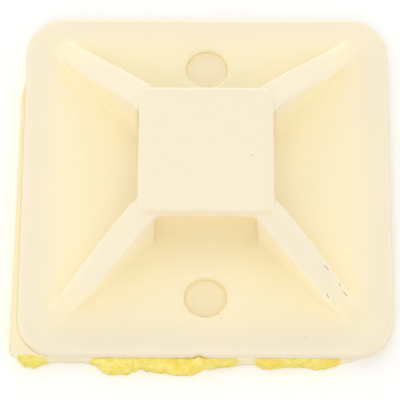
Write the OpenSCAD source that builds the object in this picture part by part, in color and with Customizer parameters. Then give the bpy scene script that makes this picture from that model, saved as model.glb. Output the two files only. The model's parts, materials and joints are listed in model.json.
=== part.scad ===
// Square cable tie mount: a moulded nylon base with a pad raised on four diagonal ribs,
// stuck to a foam tape that has torn along one edge.
// Origin: centre of the plate, on the underside of the tape. +Z up, near edge towards -Y.

/* [Base plate] */
// Side of the square base plate
plate_w = 28; // [26:0.5:36]
// Thickness of the base plate
plate_t = 1.2; // [0.9:0.1:2.5]
// Radius of the plate's corners
plate_corner_r = 3; // [1:0.25:5]
// Radius of the plate's rounded top rim
plate_rim_r = 0.5; // [0.2:0.1:0.8]

/* [Pad] */
// Side of the square pad that the ribs carry
pad_w = 10; // [8:0.5:13]
// Thickness of the pad
pad_t = 1.5; // [1:0.1:3]
// Radius of the pad's corners, between the ribs
pad_corner_r = 0.6; // [0.4:0.1:1.2]
// Radius of the pad's top edges
pad_edge_r = 0.3; // [0.1:0.1:0.8]
// Height of the tie passages, from the plate to the pad
passage_h = 4.4; // [2:0.1:8]

/* [Ribs] */
// Width of a rib at the pad
rib_w = 1.8; // [1.2:0.1:2.8]
// Width of a rib at the end of its foot
rib_foot_w = 1.7; // [1:0.1:2.8]
// How far a rib runs in under the pad's corner, along the diagonal
rib_seat = 0.8; // [0.6:0.1:1.5]
// How far a rib's foot stops short of the plate's rounded corner, along the diagonal
foot_gap = 2.5; // [2:0.1:6]

/* [Screw holes] */
// Diameter of the screw holes
screw_d = 3.2; // [2:0.1:4.5]
// Distance between the centres of the screw holes
screw_pitch = 18.9; // [16:0.1:21]

/* [Foam tape] */
// Thickness of the foam tape
tape_t = 1; // [0.5:0.1:2]
// How far the tape sticks out past the plate's left edge, at the far end
tape_out_far = 0.2; // [0:0.1:1]
// How far the tape sticks out past the plate's left edge, at the near end
tape_out_near = 0.5; // [0:0.1:1.5]
// How far the tape stops short of the plate's other edges
tape_short = 0.8; // [0.2:0.1:2]
// How far the longest shred of the torn edge sticks out past the plate
tear_reach = 1; // [0.5:0.1:2]

/* [Hidden] */
$fn = 64;

nylon = [0.98, 0.93, 0.82];
foam = [0.96, 0.87, 0.42];

// How far the cutters run past the faces that they cut
cut_past = 1;
diagonal = sqrt(2);

plate_half = plate_w / 2;
plate_z = tape_t;
plate_top = plate_z + plate_t;
pad_z = plate_top + passage_h;
pad_top = pad_z + pad_t;

// A rib's top meets the pad's corner this share of the pad's thickness up its side
rib_top_share = 1 / 3;
rib_top_z = pad_z + rib_top_share * pad_t;

// Along the diagonal: the pad's corner, a rib's inner end and the end of its foot
rib_top_d = pad_w / diagonal;
rib_inner_d = rib_top_d - rib_seat;
plate_corner_d = plate_half * diagonal - (diagonal - 1) * plate_corner_r;
rib_foot_d = plate_corner_d - foot_gap;

// The torn edge from left to right: the place along the near edge as a share of half
// the plate's side, and the shred's reach past that edge as a share of tear_reach
tear = [
    [-1.00, 0.00], [-0.96, 0.35], [-0.92, 0.45], [-0.89, 0.40], [-0.87, 0.20],
    [-0.85, 0.05], [-0.79, -0.10], [-0.64, -0.05], [-0.60, 0.10], [-0.57, 0.35],
    [-0.54, 0.80], [-0.51, 0.95], [-0.43, 0.95], [-0.39, 0.80], [-0.35, 0.50],
    [-0.33, 0.50], [-0.30, 0.70], [-0.25, 0.80], [-0.20, 0.85], [-0.16, 1.00],
    [-0.09, 1.00], [-0.06, 0.90], [-0.03, 0.70], [-0.01, 0.50], [0.06, 0.40],
    [0.12, 0.30], [0.16, 0.20], [0.19, 0.05], [0.26, 0.05], [0.29, 0.35],
    [0.33, 0.50], [0.39, 0.40], [0.43, 0.30], [0.51, 0.30], [0.57, 0.45],
    [0.60, 0.50], [0.66, 0.35], [0.69, 0.15], [0.73, -0.10]
];

// Section of a slab with a flat foot and two round top edges
module slab_section(side, thick, edge_r) {
    translate([-side / 2, 0])
        square([side, thick - edge_r]);
    translate([edge_r - side / 2, 0])
        square([side - 2 * edge_r, thick]);
    for (way = [-1, 1])
        translate([way * (side / 2 - edge_r), thick - edge_r])
            circle(r = edge_r);
}

// Right-hand half of the section of a round button with the same top edge
module button_section(corner_r, thick, edge_r) {
    square([corner_r, thick - edge_r]);
    square([corner_r - edge_r, thick]);
    translate([corner_r - edge_r, thick - edge_r])
        intersection() {
            circle(r = edge_r);
            square(edge_r);
        }
}

// Square slab with rounded corners and a rounded top rim, standing on z = 0
module rounded_slab(side, thick, corner_r, edge_r) {
    reach = side / 2 - corner_r;
    for (turn = [0, 90])
        rotate([0, 0, turn])
            rotate([90, 0, 90])
                linear_extrude(2 * reach, center = true)
                    slab_section(side, thick, edge_r);
    for (x = [-reach, reach], y = [-reach, reach])
        translate([x, y, 0])
            rotate_extrude()
                button_section(corner_r, thick, edge_r);
}

// One rib along +X: upright inner end, level at the pad's corner, then straight down
module rib() {
    intersection() {
        rotate([90, 0, 0])
            linear_extrude(rib_w + rib_foot_w, center = true)
                polygon([
                    [rib_inner_d, plate_z],
                    [rib_foot_d, plate_z],
                    [rib_foot_d, plate_top],
                    [rib_top_d, rib_top_z],
                    [rib_inner_d, rib_top_z]
                ]);
        linear_extrude(pad_top + cut_past)
            polygon([
                [rib_inner_d, -rib_w / 2],
                [rib_top_d, -rib_w / 2],
                [rib_foot_d, -rib_foot_w / 2],
                [rib_foot_d, rib_foot_w / 2],
                [rib_top_d, rib_w / 2],
                [rib_inner_d, rib_w / 2]
            ]);
    }
}

// The two screw holes, on the line from the near edge to the far edge
module screw_holes() {
    for (way = [-1, 1])
        translate([0, way * screw_pitch / 2, plate_z - cut_past])
            cylinder(d = screw_d, h = plate_t + 2 * cut_past);
}

// One moulding: the plate, the pad over its middle and the four ribs between them
module mount_body() {
    color(nylon)
        difference() {
            union() {
                translate([0, 0, plate_z])
                    rounded_slab(plate_w, plate_t, plate_corner_r, plate_rim_r);
                translate([0, 0, pad_z])
                    rounded_slab(pad_w, pad_t, pad_corner_r, pad_edge_r);
                for (turn = [45:90:315])
                    rotate([0, 0, turn])
                        rib();
            }
            screw_holes();
        }
}

// Foam tape under the plate: straight cuts on three sides and shreds along the near edge
module foam_tape() {
    inside = plate_half - tape_short;
    color(foam)
        linear_extrude(tape_t)
            polygon(concat(
                [
                    [inside, inside],
                    [-plate_half - tape_out_far, inside],
                    [-plate_half - tape_out_near, -plate_half]
                ],
                [for (p = tear) [p[0] * plate_half, -plate_half - p[1] * tear_reach]],
                [[inside, -inside]]
            ));
}

mount_body();
foam_tape();
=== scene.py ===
"""Square cable tie mount: one nylon moulding on a torn foam tape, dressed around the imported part."""

import json
import math

import bmesh
import bpy
from bpy.props import FloatProperty, FloatVectorProperty, PointerProperty
from mathutils import Matrix, Quaternion, Vector, noise


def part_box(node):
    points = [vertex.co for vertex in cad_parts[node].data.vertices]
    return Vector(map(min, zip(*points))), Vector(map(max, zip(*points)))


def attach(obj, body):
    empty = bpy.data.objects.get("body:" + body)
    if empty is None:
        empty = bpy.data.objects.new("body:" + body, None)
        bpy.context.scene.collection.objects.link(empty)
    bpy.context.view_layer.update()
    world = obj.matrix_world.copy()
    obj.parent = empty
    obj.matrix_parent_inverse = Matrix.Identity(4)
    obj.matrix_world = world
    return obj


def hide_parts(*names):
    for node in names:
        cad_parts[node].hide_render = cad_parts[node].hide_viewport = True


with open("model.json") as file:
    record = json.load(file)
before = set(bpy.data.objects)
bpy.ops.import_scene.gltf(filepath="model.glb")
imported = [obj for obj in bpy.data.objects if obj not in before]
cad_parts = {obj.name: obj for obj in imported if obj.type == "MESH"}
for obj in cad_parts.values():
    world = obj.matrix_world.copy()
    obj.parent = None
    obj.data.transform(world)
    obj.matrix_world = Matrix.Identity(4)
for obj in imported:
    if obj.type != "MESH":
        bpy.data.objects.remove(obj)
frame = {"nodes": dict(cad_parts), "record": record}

bl_info = {
    "name": "Cable Tie Mount",
    "version": (1, 0, 0),
    "blender": (4, 5, 0),
    "location": "View3D > Sidebar > Tie Mount",
    "description": "Builds a four-way nylon cable tie mount on a torn foam tape",
    "category": "Object",
}

MM = 0.001
MAIN_BODY = "root"


# ---------------------------------------------------------------- the frame's own sizes

def mount_named(name):
    """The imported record's mount of that name."""
    return next(m for m in frame["record"]["mounts"] if m["name"] == name)


body_low, body_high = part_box("mount_body")
tape_low, tape_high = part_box("foam_tape")
holes = mount_named("screw_holes")

PLATE_HALF = body_high.x
PLATE_Z = body_low.z
PLATE_TOP = holes["pos_m"][2]
PAD_TOP = body_high.z
HOLE_RADIUS = holes["dims"]["hole_r_mm"] * MM
HOLE_PITCH = holes["dims"]["spacing_y_mm"] * MM

# Stretches of the near edge, in mm along X, where the film is still whole
WHOLE_FILM = ((-11.7, -8.6), (2.4, 3.6))

# Marks on the nylon: place in mm, length to width, and turn in degrees
MARKS = (
    (3.4, -0.6, 8.1, 1.3, 20), (1.2, -11.2, 2.2, 1.2, 0), (7.4, -12.7, 2.2, 1.2, 60),
    (8.9, -8.0, 4.4, 8.0, -38), (9.9, -9.0, 3.6, 3.0, -60), (10.3, -9.6, 3.2, 6.0, -38),
    (9.0, -9.9, 3.6, 4.0, -50),
)


def linear_colour(hex_text):
    """Linear red, green and blue from an sRGB hex value such as "#F9ECD0"."""
    values = [int(hex_text[i:i + 2], 16) / 255 for i in (1, 3, 5)]
    return [v / 12.92 if v <= 0.04045 else ((v + 0.055) / 1.055) ** 2.4 for v in values]


def length(name, description, default):
    """A length property in metres."""
    return FloatProperty(name=name, description=description, default=default,
                         min=0.0, precision=5, subtype="DISTANCE", unit="LENGTH")


def colour(name, description, hex_text):
    """A colour property with an sRGB hex default."""
    return FloatVectorProperty(name=name, description=description, size=3,
                               default=linear_colour(hex_text), min=0.0, max=1.0,
                               subtype="COLOR")


class MouldingSizes(bpy.types.PropertyGroup):
    """Sizes of the nylon moulding"""

    pad_side: length("Pad side", "Side of the raised square pad", 10 * MM)
    pad_thickness: length("Pad thickness", "Thickness of the raised pad", 1.5 * MM)
    plate_corner: length("Plate corner", "Radius of the plate's corners", 3 * MM)
    rim: length("Rim", "Radius of the plate's rounded top rim", 0.55 * MM)
    pad_corner: length("Pad corner", "Radius of the pad's corners", 0.6 * MM)
    rib_width: length("Rib width", "Width of a rib at the pad", 2.1 * MM)
    rib_foot_width: length("Rib foot width", "Width of a rib at its foot", 2.0 * MM)
    rib_seat: length("Rib seat", "Length of a rib under the pad's corner", 0.8 * MM)
    foot_gap: length("Foot gap", "From a rib's foot to the plate's corner", 2.6 * MM)
    foot_fillet: length("Foot fillet", "Reach of the fillet at a rib's foot", 2.4 * MM)
    voxel: length("Voxel", "Cell of the moulding's even skin", 0.16 * MM)


class TapeSizes(bpy.types.PropertyGroup):
    """Sizes of the foam tape's torn edge"""

    strip: length("Fine strip", "Width of the strip along the torn edge with fine cells",
                  3.4 * MM)
    cell: length("Cell", "Spacing of the mesh along the torn edge", 0.11 * MM)
    lump: length("Lump", "Height of the lumps on the torn edge", 0.14 * MM)
    fray: length("Fray", "Depth of the fray along the torn edge", 0.12 * MM)
    swell: length("Swell", "How far the free foam stands above the pressed foam", 0.35 * MM)
    droop: length("Droop", "How far the torn edge drops towards its tip", 0.7 * MM)
    curl: length("Curl", "Height of the curl that stands against the plate", 0.95 * MM)
    corner_tear: length("Corner tear", "How far the near left corner is torn back", 0.6 * MM)
    swelling_near: length("Near swelling", "Height of the swelling in the near hole", 0.5 * MM)
    swelling_far: length("Far swelling", "Height of the swelling in the far hole", 0.9 * MM)


class MountColours(bpy.types.PropertyGroup):
    """Colours of the mount"""

    nylon: colour("Nylon", "Natural nylon where it is thick", "#F9ECD0")
    # Partly the real tint of slim nylon over the yellow foam, partly painted shade on the rib sides
    # and on the plate near the pad
    nylon_warm_and_shaded: colour("Warm nylon", "Thin nylon with the foam behind it", "#FFF2CC")
    # Painted shade: the deep yellow that light bounced in the creases beside the ribs gives
    nylon_crease_shade: colour("Nylon in creases", "Natural nylon in the creases beside the ribs", "#FDEBBC")
    # Used both for real dust specks and scratches and for painted shade that darkens the nylon towards
    # the near edge
    dust_and_shade: colour("Dust", "Dust specks and scratches on the nylon", "#8A8478")
    foam: colour("Foam", "Torn yellow foam", "#FBE063")
    foam_pale: colour("Pale foam", "Paler patches of the torn foam", "#FDF08C")
    # Painted shade: the darker yellow down in the foam's pores
    foam_pore_shade: colour("Foam pores", "Foam down in its pores", "#E8C650")
    film: colour("Film", "Adhesive film on the tape's top", "#FDF1CE")
    floor: colour("Floor", "Plain floor", "#EDEDED")


# ---------------------------------------------------------------- mesh helpers

# A rib narrows by this share of its width over this length before the end of its foot
FOOT_TAPER = 0.3
FOOT_TAPER_LENGTH = 2.5 * MM


def ramp(value, low, high):
    """0 below low, 1 above high, and a smooth rise between them."""
    share = min(max((value - low) / (high - low), 0.0), 1.0)
    return share * share * (3 - 2 * share)


def object_from(bm, name, smooth=True):
    """A new object with the bmesh's shape, linked to the scene."""
    mesh = bpy.data.meshes.new(name)
    bm.to_mesh(mesh)
    bm.free()
    for polygon in mesh.polygons:
        polygon.use_smooth = smooth
    piece = bpy.data.objects.new(name, mesh)
    bpy.context.scene.collection.objects.link(piece)
    return piece


def round_edges(bm, edges, radius, segments):
    """Rounds the edges with a circular bevel."""
    return bmesh.ops.bevel(bm, geom=edges, offset=radius, offset_type="OFFSET",
                           affect="EDGES", segments=segments, profile=0.5,
                           material=-1, clamp_overlap=True)


def add_slab(bm, side, low, high, corner, segments):
    """A square slab from height low to height high with rounded corners."""
    made = bmesh.ops.create_cube(bm, size=1.0)["verts"]
    bmesh.ops.scale(bm, vec=(side, side, high - low), verts=made)
    bmesh.ops.translate(bm, vec=(0, 0, (low + high) / 2), verts=made)
    upright = dict.fromkeys(e for v in made for e in v.link_edges
                            if abs(e.verts[0].co.z - e.verts[1].co.z) > MM / 10)
    round_edges(bm, list(upright), corner, segments)


def add_rib(bm, outline, sizes, foot_d, angle):
    """The side outline thickened to the rib's width, which narrows to its foot, and turned."""
    verts = [bm.verts.new((x, 0, z)) for x, z in outline]
    face = bm.faces.new(verts)
    grown = bmesh.ops.extrude_face_region(bm, geom=[face])["geom"]
    lifted = [g for g in grown if isinstance(g, bmesh.types.BMVert)]
    for side, row in ((-1, verts), (1, lifted)):
        for v in row:
            share = v.co.x / foot_d
            wide = sizes.rib_width + (sizes.rib_foot_width - sizes.rib_width) * share
            end_share = ramp(v.co.x, foot_d - FOOT_TAPER_LENGTH, foot_d)
            v.co.y = side * wide / 2 * (1 - FOOT_TAPER * end_share)
    faces = {f for v in verts + lifted for f in v.link_faces}
    bmesh.ops.recalc_face_normals(bm, faces=list(faces))
    bmesh.ops.rotate(bm, cent=(0, 0, 0), matrix=Matrix.Rotation(angle, 3, "Z"),
                     verts=verts + lifted)


def keep_result(piece):
    """Replaces the piece's mesh with what its modifiers make of it."""
    depsgraph = bpy.context.evaluated_depsgraph_get()
    mesh = bpy.data.meshes.new_from_object(piece.evaluated_get(depsgraph))
    piece.modifiers.clear()
    piece.data = mesh


def cut(piece, tool):
    """Cuts the tool's shape from the piece and removes the tool."""
    step = piece.modifiers.new("cut", "BOOLEAN")
    step.operation = "DIFFERENCE"
    step.solver = "EXACT"
    step.object = tool
    keep_result(piece)
    bpy.data.objects.remove(tool)


def fuse(piece, voxel):
    """Fuses the closed shells of the piece into one skin of even cells."""
    step = piece.modifiers.new("fuse", "REMESH")
    step.mode = "VOXEL"
    step.voxel_size = voxel
    step.use_smooth_shade = True
    keep_result(piece)


def relax(piece, share_at, rounds):
    """Smooths the piece by the share, 0 to 1, that share_at gives for each point."""
    group = piece.vertex_groups.new(name="soft")
    for v in piece.data.vertices:
        group.add([v.index], share_at(v.co), "REPLACE")
    step = piece.modifiers.new("relax", "SMOOTH")
    step.factor = 0.5
    step.iterations = rounds
    step.vertex_group = group.name
    keep_result(piece)
    piece.vertex_groups.clear()


def finish_piece(piece, node, material):
    """The piece stands for a CAD node, rides on the body and takes the material."""
    piece.data.materials.clear()
    piece.data.materials.append(material)
    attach(piece, MAIN_BODY)
    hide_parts(node)


# ---------------------------------------------------------------- material helpers

# A mark is stretched this much along Z, so that it also shows on a sloping face
MARK_HEIGHT = 6
MARK_SHARE = 0.6

# Grain of the mould's surface, the warm clouds in the nylon, the foam's cells and patches
GRAIN = 0.3 * MM
CLOUD = 4 * MM
CELL = 0.2 * MM
PATCH = 0.7 * MM
RAGGED = 0.8 * MM


def add_node(tree, kind, inputs=None, **settings):
    """Adds a node, sets it, and gives its inputs values or links them to sockets."""
    node = tree.nodes.new(kind)
    for key, value in settings.items():
        setattr(node, key, value)
    for key, value in (inputs or {}).items():
        if isinstance(value, bpy.types.NodeSocket):
            tree.links.new(value, node.inputs[key])
        else:
            node.inputs[key].default_value = value
    return node


def new_material(name):
    """A material with a Principled shader, as (material, tree, shader)."""
    material = bpy.data.materials.new(name)
    material.use_nodes = True
    tree = material.node_tree
    return material, tree, tree.nodes["Principled BSDF"]


def mapped(tree, value, low, high, start=0.0, end=1.0):
    """A smooth step of the value from start at low to end at high."""
    return add_node(tree, "ShaderNodeMapRange",
                    {"Value": value, "From Min": low, "From Max": high,
                     "To Min": start, "To Max": end},
                    interpolation_type="SMOOTHSTEP").outputs["Result"]


def arithmetic(tree, operation, first, second=0.0):
    """The result of a Math node."""
    return add_node(tree, "ShaderNodeMath", {0: first, 1: second},
                    operation=operation).outputs[0]


def mixed(tree, share, first, second):
    """The first colour, turning to the second as the share goes from 0 to 1."""
    return add_node(tree, "ShaderNodeMix", {"Factor": share, "A": first, "B": second},
                    data_type="RGBA").outputs["Result"]


def marks(tree, place):
    """1 where a dusty speck or a scratch lies on the nylon, and 0 elsewhere."""
    total = 0.0
    for x, y, z, long, turn in MARKS:
        shifted = add_node(tree, "ShaderNodeMapping",
                           {"Vector": place, "Location": (x * MM, y * MM, z * MM),
                            "Rotation": (0, 0, math.radians(turn)),
                            "Scale": (long, 1, MARK_HEIGHT)}, vector_type="TEXTURE").outputs[0]
        away = add_node(tree, "ShaderNodeVectorMath", {0: shifted},
                        operation="LENGTH").outputs["Value"]
        total = arithmetic(tree, "MAXIMUM", mapped(tree, away, 0.03 * MM, 0.06 * MM, 1, 0),
                           total)
    return total


def moulded_nylon(colours):
    """Natural nylon, injection moulded: waxy, warmer where a slim layer lies over the foam, with a
    fine grain; painted shade warms the rib sides and the creases and darkens the near side.
    """
    # Light gets a little way in, so creases look warm and soft, and highlights are dull; most of the
    # creases' warmth is painted shade in the base colour
    material, tree, shader = new_material("nylon natural moulded")
    coordinates = add_node(tree, "ShaderNodeTexCoord").outputs
    place, normal = coordinates["Object"], coordinates["Normal"]
    axes = add_node(tree, "ShaderNodeSeparateXYZ", {0: place}).outputs
    far_x = arithmetic(tree, "ABSOLUTE", axes["X"])
    far_y = arithmetic(tree, "ABSOLUTE", axes["Y"])
    # The warm mix is partly real and partly painted shade: slim nylon low on the plate near the pad
    # takes the foam's tint, and the rib sides, picked by their slope, are warmed as painted shade from
    # light bounced in the creases
    inner = mapped(tree, arithmetic(tree, "MAXIMUM", far_x, far_y), 10 * MM, 13.6 * MM, 1, 0)
    low = mapped(tree, axes["Z"], PLATE_TOP + 0.2 * MM, PLATE_TOP + 2.5 * MM, 1, 0)
    facing = add_node(tree, "ShaderNodeSeparateXYZ", {0: normal}).outputs["Z"]
    side = arithmetic(tree, "MULTIPLY", mapped(tree, facing, 0.3, 0.8, 1, 0),
                      mapped(tree, axes["Z"], PLATE_TOP + 1 * MM, PAD_TOP - 1 * MM, 1, 0))
    warm_tint_and_shade = arithmetic(tree, "MULTIPLY", inner, arithmetic(tree, "MAXIMUM", low, side))
    cloud = add_node(tree, "ShaderNodeTexNoise",
                     {"Vector": place, "Scale": 1 / CLOUD, "Detail": 4.0}).outputs["Fac"]
    warm_tint_and_shade = arithmetic(tree, "ADD", warm_tint_and_shade, mapped(tree, cloud, 0.3, 0.7, -0.12, 0.12))
    body = mixed(tree, warm_tint_and_shade, (*colours.nylon, 1), (*colours.nylon_warm_and_shaded, 1))
    # Painted shade: the plate low beside the ribs and near the pad turns deep yellow, as bounced light
    # in the creases would make it
    off_rib = arithmetic(tree, "ABSOLUTE", arithmetic(tree, "SUBTRACT", far_x, far_y))
    beside = mapped(tree, off_rib, 1.6 * MM, 4.4 * MM, 0.3, 0)
    crease_shade = arithmetic(tree, "MULTIPLY", beside, mapped(tree, axes["Z"], PLATE_TOP,
                                                         PLATE_TOP + 2.2 * MM, 1, 0))
    crease_shade = arithmetic(tree, "MULTIPLY", crease_shade, inner)
    body = mixed(tree, crease_shade, body, (*colours.nylon_crease_shade, 1))
    # Painted shade: the nylon darkens towards the near edge, where less light falls; the marks added
    # to it are real dust specks and scratches
    near_side_shade = mapped(tree, axes["Y"], -14 * MM, -8 * MM, 0.045, 0)
    dust_and_near_shade = arithmetic(tree, "MAXIMUM", near_side_shade,
                       arithmetic(tree, "MULTIPLY", marks(tree, place), MARK_SHARE))
    tree.links.new(mixed(tree, dust_and_near_shade, body, (*colours.dust_and_shade, 1)), shader.inputs["Base Color"])
    grain = add_node(tree, "ShaderNodeTexNoise",
                     {"Vector": place, "Scale": 1 / GRAIN, "Detail": 3.0}).outputs["Fac"]
    tree.links.new(mapped(tree, grain, 0.3, 0.7, 0.38, 0.46), shader.inputs["Roughness"])
    bump = add_node(tree, "ShaderNodeBump", {"Height": grain, "Strength": 0.3,
                                             "Distance": 0.02 * MM})
    tree.links.new(bump.outputs["Normal"], shader.inputs["Normal"])
    shader.inputs["IOR"].default_value = 1.53
    shader.inputs["Subsurface Weight"].default_value = 0.15
    shader.inputs["Subsurface Radius"].default_value = (1.0, 0.9, 0.7)
    shader.inputs["Subsurface Scale"].default_value = 0.5 * MM
    return material


def torn_share(tree, axes, place, normal):
    """1 where the yellow foam is bare: the torn near edge, the worn left edge, the cut sides."""
    ragged = add_node(tree, "ShaderNodeTexNoise",
                      {"Vector": place, "Scale": 1 / RAGGED, "Detail": 3.0}).outputs["Fac"]
    wander = arithmetic(tree, "MULTIPLY", ragged, 0.3 * MM)
    corner = mapped(tree, axes["X"], -13.2 * MM, -12.2 * MM, -0.2 * MM, 0)
    near = arithmetic(tree, "ADD", arithmetic(tree, "ADD", axes["Y"], wander), corner)
    near = mapped(tree, near, -13.9 * MM, -13.75 * MM, 1, 0)
    shaken = arithmetic(tree, "ADD", axes["X"], arithmetic(tree, "MULTIPLY", ragged, 1.2 * MM))
    for start, end in WHOLE_FILM:
        whole = arithmetic(tree, "MULTIPLY",
                           mapped(tree, shaken, (start + 0.5) * MM, (start + 0.7) * MM),
                           mapped(tree, shaken, (end + 0.5) * MM, (end + 0.7) * MM, 1, 0))
        near = arithmetic(tree, "SUBTRACT", near, whole)
    lean = arithmetic(tree, "MULTIPLY", axes["Y"], 0.011)
    from_left = arithmetic(tree, "SUBTRACT", axes["X"], lean)
    worn = mapped(tree, arithmetic(tree, "ADD", from_left, wander),
                  -14.2 * MM, -13.9 * MM, 1, 0)
    patch = arithmetic(tree, "MULTIPLY", mapped(tree, axes["Y"], 6 * MM, 8 * MM, 0, 0.7),
                       mapped(tree, axes["Y"], 9.5 * MM, 10.5 * MM, 1, 0))
    worn = arithmetic(tree, "MULTIPLY", worn, arithmetic(tree, "ADD", patch, 0.3))
    facing = add_node(tree, "ShaderNodeSeparateXYZ", {0: normal}).outputs["Z"]
    cut_side = arithmetic(tree, "MULTIPLY", mapped(tree, facing, 0.3, 0.6, 1, 0),
                          mapped(tree, axes["Y"], -13.4 * MM, -13.0 * MM))
    return arithmetic(tree, "MAXIMUM", arithmetic(tree, "MAXIMUM", near, worn), cut_side)


def torn_foam(colours):
    """Yellow polyethylene foam under a pale adhesive film, torn: matt and full of small cells."""
    # The open cells show as a fine speckle, from their bump and from painted shade down in the pores,
    # and the torn face has no gloss.
    # They are drawn a little coarser than they are, so that they show
    material, tree, shader = new_material("foam yellow torn")
    coordinates = add_node(tree, "ShaderNodeTexCoord").outputs
    place, normal = coordinates["Object"], coordinates["Normal"]
    axes = add_node(tree, "ShaderNodeSeparateXYZ", {0: place}).outputs
    patches = add_node(tree, "ShaderNodeTexNoise",
                       {"Vector": place, "Scale": 1 / PATCH, "Detail": 2.0}).outputs["Fac"]
    foam = mixed(tree, mapped(tree, patches, 0.35, 0.65),
                 (*colours.foam, 1), (*colours.foam_pale, 1))
    cells = add_node(tree, "ShaderNodeTexVoronoi",
                     {"Vector": place, "Scale": 1 / CELL}).outputs["Distance"]
    # Painted shade: each cell is darker down in its pore; the bump below is the cells' real relief
    foam = mixed(tree, mapped(tree, cells, 0.1, 0.6, 0.35, 0), foam, (*colours.foam_pore_shade, 1))
    blend = mixed(tree, torn_share(tree, axes, place, normal), (*colours.film, 1), foam)
    tree.links.new(blend, shader.inputs["Base Color"])
    bump = add_node(tree, "ShaderNodeBump", {"Height": cells, "Strength": 0.5,
                                             "Distance": 0.05 * MM})
    tree.links.new(bump.outputs["Normal"], shader.inputs["Normal"])
    shader.inputs["Roughness"].default_value = 0.85
    return material


# ---------------------------------------------------------------- the moulding

# Rounds of smoothing that soften the creases, and how much of it the hole lips and the
# ribs' upper edges are spared
SOFT_ROUNDS = 30
LIP_SPARED = 0.75
TOP_SPARED = 0.8

# Where a rib's top meets the pad, as a share of the pad's thickness down from its top
RIB_TOP_SHARE = 2 / 3
FILLET_STEPS = 8


def pierced_plate(sizes):
    """The base plate with its rounded rim and the two screw holes."""
    bm = bmesh.new()
    add_slab(bm, 2 * PLATE_HALF, PLATE_Z, PLATE_TOP, sizes.plate_corner, 12)
    rim = [e for e in bm.edges if min(v.co.z for v in e.verts) > PLATE_TOP - MM / 10
           and len(e.link_faces) == 2 and e.calc_face_angle(0) > 1]
    round_edges(bm, rim, sizes.rim, 5)
    plate = object_from(bm, "mount_moulding")
    for side in (-1, 1):
        bm = bmesh.new()
        centre = Matrix.Translation((0, side * HOLE_PITCH / 2, PLATE_TOP))
        bmesh.ops.create_cone(bm, cap_ends=True, segments=64, radius1=HOLE_RADIUS,
                              radius2=HOLE_RADIUS, depth=4 * MM, matrix=centre)
        cut(plate, object_from(bm, "drill"))
    return plate


def rib_outline(sizes):
    """A rib's side outline along its diagonal, ending in a long fillet on the plate."""
    root2 = math.sqrt(2)
    top = Vector((sizes.pad_side / root2, PAD_TOP - sizes.pad_thickness * RIB_TOP_SHARE))
    corner_d = PLATE_HALF * root2 - (root2 - 1) * sizes.plate_corner
    foot = Vector((corner_d - sizes.foot_gap, PLATE_TOP))
    start = foot + (top - foot).normalized() * sizes.foot_fillet
    end = foot + Vector((sizes.foot_fillet / 5, -MM / 50))
    outline = [(top.x - sizes.rib_seat, top.y), tuple(top)]
    for step in range(FILLET_STEPS + 1):
        share = step / FILLET_STEPS
        outline.append(tuple(start.lerp(foot, share).lerp(foot.lerp(end, share), share)))
    sunk = (PLATE_Z + PLATE_TOP) / 2
    return outline + [(end.x, sunk), (top.x - sizes.rib_seat, sunk)], end.x


def build_moulding(sizes):
    """The plate, the pad and the four ribs as one skin with soft inner and outer edges."""
    plate = pierced_plate(sizes)
    bm = bmesh.new()
    bm.from_mesh(plate.data)
    add_slab(bm, sizes.pad_side, PAD_TOP - sizes.pad_thickness, PAD_TOP, sizes.pad_corner, 6)
    outline, foot_d = rib_outline(sizes)
    for quarter in range(4):
        add_rib(bm, outline, sizes, foot_d, math.radians(45 + 90 * quarter))
    bpy.data.objects.remove(plate)
    body = object_from(bm, "mount_moulding")
    fuse(body, sizes.voxel)

    def softness(co):
        """1 in the creases on the plate, less at the holes and up the ribs, 0 at the rim."""
        inside = PLATE_HALF - max(abs(co.x), abs(co.y))
        from_hole = (Vector((co.x, abs(co.y))) - Vector((0, HOLE_PITCH / 2))).length
        lip = 1 - LIP_SPARED * (1 - ramp(from_hole - HOLE_RADIUS, 0.3 * MM, 1.2 * MM))
        high = 1 - TOP_SPARED * ramp(co.z, PLATE_TOP + 0.8 * MM, PLATE_TOP + 3.0 * MM)
        return ramp(inside, 0.4 * MM, 1.0 * MM) * lip * high * ramp(co.z, PLATE_Z, PLATE_TOP)

    relax(body, softness, SOFT_ROUNDS)
    return body


# ---------------------------------------------------------------- the tape

# Rows of cells from the near edge to the far one, and how many lie in the fine strip
TAPE_ROWS = 32
STRIP_ROWS = 28
TAPE_LAYERS = 6

# Where the shred that curls up stands along the near edge, and half its width
CURL_X = -0.45 * MM
CURL_HALF = 0.32 * MM

# The film lies this much below the plate's underside, clear of it
FILM_GAP = 0.015 * MM


def along(points, x):
    """The height at x of the line through the points."""
    for (x0, y0), (x1, y1) in zip(points, points[1:]):
        if x0 <= x <= x1 and x1 > x0:
            return y0 + (y1 - y0) * (x - x0) / (x1 - x0)
    return points[0][1] if x < points[0][0] else points[-1][1]


def packed_tape_edges():
    """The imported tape's torn near edge from left to right, and its left edge from near to far."""
    top = [v.co for v in frame["nodes"]["foam_tape"].data.vertices if v.co.z > tape_high.z / 2]
    near = sorted({(round(c.x, 6), round(c.y, 6)) for c in top if c.y < -tape_high.y + MM / 10})
    far_left = min(c.x for c in top if c.y > 0)
    left = [(near[0][1], near[0][0]), (tape_high.y, far_left)]
    return near, left


def round_corner(co, centre, half):
    """Pulls a point of a square corner in to an ellipse about the centre.

    centre holds the ellipse's centre and the signs of X and Y towards the corner, and half
    its half axes.
    """
    dx, dy = (co.x - centre[0]) * centre[2], (co.y - centre[1]) * centre[3]
    if dx <= 0 or dy <= 0:
        return
    share = max(dx / half[0], dy / half[1])
    ellipse = math.hypot(dx / half[0], dy / half[1])
    pull = 1 - share ** 3 * (1 - share / ellipse)
    co.x = centre[0] + dx * pull * centre[2]
    co.y = centre[1] + dy * pull * centre[3]


def past_plate(x, y, corner):
    """How far the point lies outside the plate's rounded outline, negative inside it."""
    across, along_y = abs(x) - PLATE_HALF + corner, abs(y) - PLATE_HALF + corner
    if across > 0 and along_y > 0:
        return math.hypot(across, along_y) - corner
    return max(across, along_y) - corner


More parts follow.
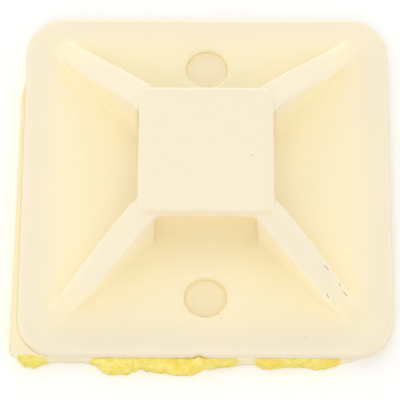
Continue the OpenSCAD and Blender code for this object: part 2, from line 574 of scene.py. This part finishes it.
def rough(x, y, z, size):
    """Two octaves of noise with features of about the given size."""
    place = Vector((x, y, z)) / size
    return noise.noise(place) + 0.5 * noise.noise(place * 2.5 + Vector((3, 5, 7)))


def place_tape_point(co, edges, sizes, corner):
    """Moves a point of the unit block to its place on the torn tape."""
    near, left = edges
    across, inward, up = co.x + 0.5, co.y + 0.5, co.z
    strip_share = STRIP_ROWS / TAPE_ROWS
    x = tape_low.x + across * (tape_high.x - tape_low.x)
    edge = along(near, x) + sizes.corner_tear * ramp(-x, PLATE_HALF - 0.5 * MM, -tape_low.x)
    if inward <= strip_share:
        depth = sizes.strip * (inward / strip_share) ** 1.5
    else:
        rest = (inward - strip_share) / (1 - strip_share)
        depth = sizes.strip + rest * (tape_high.y - edge - sizes.strip)
    loose = ramp(depth, sizes.strip * 0.4, 0)
    y = edge + depth
    y += loose * (rough(x, 0, up * MM / 2, 0.35 * MM) + 0.6) * sizes.fray * ramp(
        -edge, PLATE_HALF, PLATE_HALF + 0.3 * MM)
    start = along(left, y)
    x = start + across * (tape_high.x - start)
    free = ramp(past_plate(x, y, corner), -0.14 * MM, -0.02 * MM)
    out = min(max((-PLATE_HALF - y) / max(-PLATE_HALF - edge, 0.1 * MM), 0.0), 1.0)
    torn = ramp(-y, PLATE_HALF, PLATE_HALF + 0.15 * MM)
    top = tape_high.z - FILM_GAP + free * sizes.swell
    lump = sizes.lump * (rough(x, y, 1.7 * MM, 0.5 * MM) + 0.3)
    top += torn * (lump - sizes.droop * out ** 1.5)
    curl = math.exp(-((x - CURL_X) / CURL_HALF) ** 2)
    top += torn * curl * sizes.curl * (1 - out)
    puff = 0.12 * MM * loose * math.sin(math.pi * up) * rough(x, 0, up * MM, 0.5 * MM)
    co.x, co.y, co.z = x, y + puff, up * top


def add_swelling(bm, y, height):
    """The low swelling that the squeezed tape makes in a screw hole."""
    wide = HOLE_RADIUS + 0.02 * MM
    foot = Matrix.Translation((0, y, tape_high.z + height / 2 - 0.1 * MM))
    made = bmesh.ops.create_cone(bm, cap_ends=True, segments=48, radius1=wide, radius2=wide,
                                 depth=height, matrix=foot)["verts"]
    top = max(v.co.z for v in made)
    rim = dict.fromkeys(e for v in made for e in v.link_edges
                        if min(w.co.z for w in e.verts) > top - MM / 100)
    round_edges(bm, list(rim), height / 8, 4)


def build_tape(sizes, corner):
    """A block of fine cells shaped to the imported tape, its near edge torn and lumpy."""
    edges = packed_tape_edges()
    across = round((tape_high.x - tape_low.x) / sizes.cell)
    bm = bmesh.new()
    bmesh.ops.create_grid(bm, x_segments=across, y_segments=TAPE_ROWS, size=0.5)
    grown = bmesh.ops.extrude_face_region(bm, geom=bm.faces[:])["geom"]
    lifted = [g for g in grown if isinstance(g, bmesh.types.BMVert)]
    bmesh.ops.translate(bm, vec=(0, 0, 1), verts=lifted)
    upright = [e for e in bm.edges if abs(e.verts[0].co.z - e.verts[1].co.z) > 0.5]
    bmesh.ops.subdivide_edges(bm, edges=upright, cuts=TAPE_LAYERS, use_grid_fill=True)
    bmesh.ops.recalc_face_normals(bm, faces=bm.faces[:])
    reach = PLATE_HALF - corner
    for v in bm.verts:
        place_tape_point(v.co, edges, sizes, corner)
        round_corner(v.co, (-reach, reach, -1, 1), (-tape_low.x - reach, tape_high.y - reach))
        for y_way in (1, -1):
            round_corner(v.co, (reach, y_way * reach, 1, y_way),
                         (tape_high.x - reach, tape_high.y - reach))
        v.co.y = max(v.co.y, tape_low.y)
        v.co.x = max(v.co.x, tape_low.x)
    add_swelling(bm, -HOLE_PITCH / 2, sizes.swelling_near)
    add_swelling(bm, HOLE_PITCH / 2, sizes.swelling_far)
    return object_from(bm, "torn_foam_tape")


# ---------------------------------------------------------------- the stage

# Name, side in metres, energy in watts, azimuth from the near side towards the right
# and elevation, both in degrees
LAMPS = (
    ("far softbox", 0.20, 0.60, 180, 12),
    ("left softbox", 0.20, 0.42, 270, 13),
    ("right softbox", 0.20, 0.32, 90, 11.5),
    ("near softbox", 0.28, 0.36, 0, 50),
    ("low softbox", 0.20, 0.16, 0, 12),
    ("top softbox", 0.28, 0.23, 180, 80),
)
LAMP_DISTANCE = 0.5
TENT_STRENGTH = 0.70

# What the camera alone sees added to the floor, which turns it white and keeps the shadow
FLOOR_GLOW = 0.18
FLOOR_HALF = 0.4

# The camera's azimuth, elevation and roll in degrees, its distance, and what it looks at
CAMERA_AZIMUTH = 0.779
CAMERA_ELEVATION = 66.28
CAMERA_ROLL = -0.475
CAMERA_DISTANCE = 0.19029
CAMERA_TARGET = (-0.46 * MM, -1.632 * MM, PLATE_TOP)


def direction(azimuth, elevation):
    """The unit vector at azimuth from -Y towards +X and at elevation, both in degrees."""
    turn, lift = math.radians(azimuth), math.radians(elevation)
    return Vector((math.sin(turn) * math.cos(lift), -math.cos(turn) * math.cos(lift),
                   math.sin(lift)))


def add_floor(scene):
    """A plain paper floor that the camera sees a little brighter, so that it turns white."""
    bm = bmesh.new()
    bmesh.ops.create_grid(bm, x_segments=1, y_segments=1, size=FLOOR_HALF)
    floor = object_from(bm, "floor", smooth=False)
    material, tree, shader = new_material("floor paper matt")
    shader.inputs["Base Color"].default_value = (*scene.mount_colours.floor, 1)
    shader.inputs["Roughness"].default_value = 0.9
    shader.inputs["Specular IOR Level"].default_value = 0.1
    path = add_node(tree, "ShaderNodeLightPath").outputs["Is Camera Ray"]
    glow = arithmetic(tree, "MULTIPLY", path, FLOOR_GLOW)
    tree.links.new(glow, shader.inputs["Emission Strength"])
    shader.inputs["Emission Color"].default_value = (1, 1, 1, 1)
    floor.data.materials.append(material)


def add_world(scene):
    """Even white light from all round, as in a light tent, seen by the camera as plain white."""
    world = bpy.data.worlds.new("light tent")
    world.use_nodes = True
    tree = world.node_tree
    background = tree.nodes["Background"]
    background.inputs["Color"].default_value = (1, 1, 1, 1)
    seen = add_node(tree, "ShaderNodeLightPath").outputs["Is Camera Ray"]
    tree.links.new(mapped(tree, seen, 0, 1, TENT_STRENGTH, 1), background.inputs["Strength"])
    scene.world = world


def add_lamp(scene, name, size, energy, azimuth, elevation):
    """A square softbox aimed at the mount."""
    lamp = bpy.data.lights.new(name, "AREA")
    lamp.shape = "SQUARE"
    lamp.size = size
    lamp.energy = energy
    softbox = bpy.data.objects.new(name, lamp)
    scene.collection.objects.link(softbox)
    way = direction(azimuth, elevation)
    softbox.location = way * LAMP_DISTANCE
    softbox.rotation_euler = way.to_track_quat("Z", "Y").to_euler()


def add_camera(scene):
    """A long lens looking down on the mount from its near side."""
    lens = bpy.data.cameras.new("camera")
    lens.sensor_width = 36.0
    lens.lens = 226.8
    lens.clip_start = 0.01
    camera = bpy.data.objects.new("camera", lens)
    scene.collection.objects.link(camera)
    back = direction(CAMERA_AZIMUTH, CAMERA_ELEVATION)
    camera.location = Vector(CAMERA_TARGET) + back * CAMERA_DISTANCE
    roll = Quaternion((0, 0, 1), math.radians(CAMERA_ROLL))
    camera.rotation_mode = "QUATERNION"
    camera.rotation_quaternion = back.to_track_quat("Z", "Y") @ roll
    scene.camera = camera


# ---------------------------------------------------------------- the operators

class TIEMOUNT_OT_moulding(bpy.types.Operator):
    """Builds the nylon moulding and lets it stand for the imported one"""

    bl_idname = "tie_mount.moulding"
    bl_label = "Nylon moulding"

    def execute(self, context):
        scene = context.scene
        body = build_moulding(scene.moulding_sizes)
        finish_piece(body, "mount_body", moulded_nylon(scene.mount_colours))
        return {"FINISHED"}


class TIEMOUNT_OT_tape(bpy.types.Operator):
    """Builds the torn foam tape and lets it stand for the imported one"""

    bl_idname = "tie_mount.tape"
    bl_label = "Foam tape"

    def execute(self, context):
        scene = context.scene
        tape = build_tape(scene.tape_sizes, scene.moulding_sizes.plate_corner)
        finish_piece(tape, "foam_tape", torn_foam(scene.mount_colours))
        return {"FINISHED"}


class TIEMOUNT_OT_stage(bpy.types.Operator):
    """Adds the floor, the light and the camera"""

    bl_idname = "tie_mount.stage"
    bl_label = "Floor, light and camera"

    def execute(self, context):
        add_floor(context.scene)
        add_world(context.scene)
        for name, size, energy, azimuth, elevation in LAMPS:
            add_lamp(context.scene, name, size, energy, azimuth, elevation)
        add_camera(context.scene)
        context.scene.view_settings.view_transform = "Standard"
        return {"FINISHED"}


class TIEMOUNT_PT_panel(bpy.types.Panel):
    """The mount's operators in the 3D view's sidebar"""

    bl_label = "Tie Mount"
    bl_space_type = "VIEW_3D"
    bl_region_type = "UI"
    bl_category = "Tie Mount"

    def draw(self, context):
        layout = self.layout
        for operator in OPERATORS:
            layout.operator(operator.bl_idname)


OPERATORS = (TIEMOUNT_OT_stage, TIEMOUNT_OT_moulding, TIEMOUNT_OT_tape)
CLASSES = (MouldingSizes, TapeSizes, MountColours, *OPERATORS, TIEMOUNT_PT_panel)


def register():
    for each in CLASSES:
        bpy.utils.register_class(each)
    bpy.types.Scene.moulding_sizes = PointerProperty(type=MouldingSizes)
    bpy.types.Scene.tape_sizes = PointerProperty(type=TapeSizes)
    bpy.types.Scene.mount_colours = PointerProperty(type=MountColours)


def unregister():
    del bpy.types.Scene.moulding_sizes
    del bpy.types.Scene.tape_sizes
    del bpy.types.Scene.mount_colours
    for each in reversed(CLASSES):
        bpy.utils.unregister_class(each)


def main():
    register()
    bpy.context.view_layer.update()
    bpy.ops.tie_mount.stage()
    bpy.ops.tie_mount.moulding()
    bpy.ops.tie_mount.tape()


if __name__ == "__main__":
    main()
